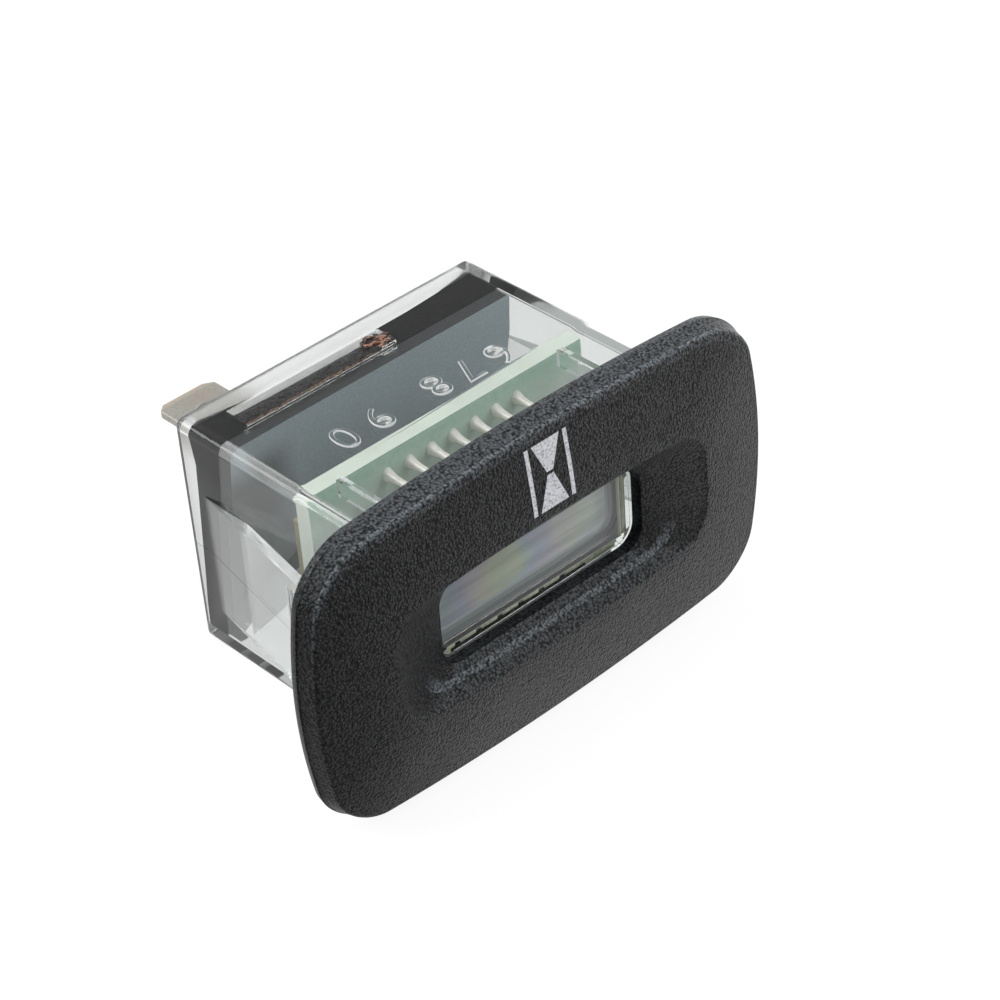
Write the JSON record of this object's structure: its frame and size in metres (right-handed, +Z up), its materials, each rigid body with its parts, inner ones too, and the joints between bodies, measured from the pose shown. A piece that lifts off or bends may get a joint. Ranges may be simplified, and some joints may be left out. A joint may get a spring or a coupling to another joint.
{
  "type": "panel-mounted electronic hour meter",
  "caption": "Snap-in hour meter: a dark moulded bezel with a windowed display, a clear rectangular case with snap tongues, and blade terminals at the rear.",
  "frame": {"origin": "centre of the panel cut-out on the panel's front face, which the bezel's rear rim touches", "axes": "+Y runs back through the panel along the case, +Z is up, +X is to the right of someone reading the display"},
  "size_m": [0.0538, 0.0391, 0.0314],
  "materials": {
    "bezel": "spark-eroded grain",
    "clear_case": "clear, polished",
    "carrier": "moulded",
    "potting": "cast, satin",
    "resin_bead": "cast, glossy",
    "terminals": "tinned, tarnished",
    "board": "solder resist",
    "polariser": "film",
    "display_glass": "clear",
    "reflector": "satin foil",
    "pins": "tinned",
    "chips": "moulded",
    "capacitor": "moulded",
    "cans": "drawn",
    "resistors": "glazed"
  },
  "bodies": {
    "root": {"bezel": "bezel", "clear_case": "clear_case", "terminal_carrier": "carrier", "potting": "potting", "resin_bead": "resin_bead", "terminal_left": "terminals", "terminal_right": "terminals", "circuit_board": "board", "lcd_front_polariser": "polariser", "lcd_front_glass": "display_glass", "lcd_rear_glass": "display_glass", "lcd_reflector": "reflector", "microcontroller": "chips", "memory_chip": "chips", "diode_1": "chips", "diode_2": "chips", "filter_capacitor": "capacitor", "crystal_can": "cans", "resistor_1": "resistors", "resistor_2": "resistors", "resistor_3": "resistors", "lcd_pin_top_1": "pins", "lcd_pin_top_2": "pins", "lcd_pin_top_3": "pins", "lcd_pin_top_4": "pins", "lcd_pin_top_5": "pins", "lcd_pin_top_6": "pins", "lcd_pin_top_7": "pins", "lcd_pin_bottom_1": "pins", "lcd_pin_bottom_2": "pins", "lcd_pin_bottom_3": "pins", "lcd_pin_bottom_4": "pins", "lcd_pin_bottom_5": "pins", "lcd_pin_bottom_6": "pins", "lcd_pin_bottom_7": "pins"}
  },
  "joints": []
}
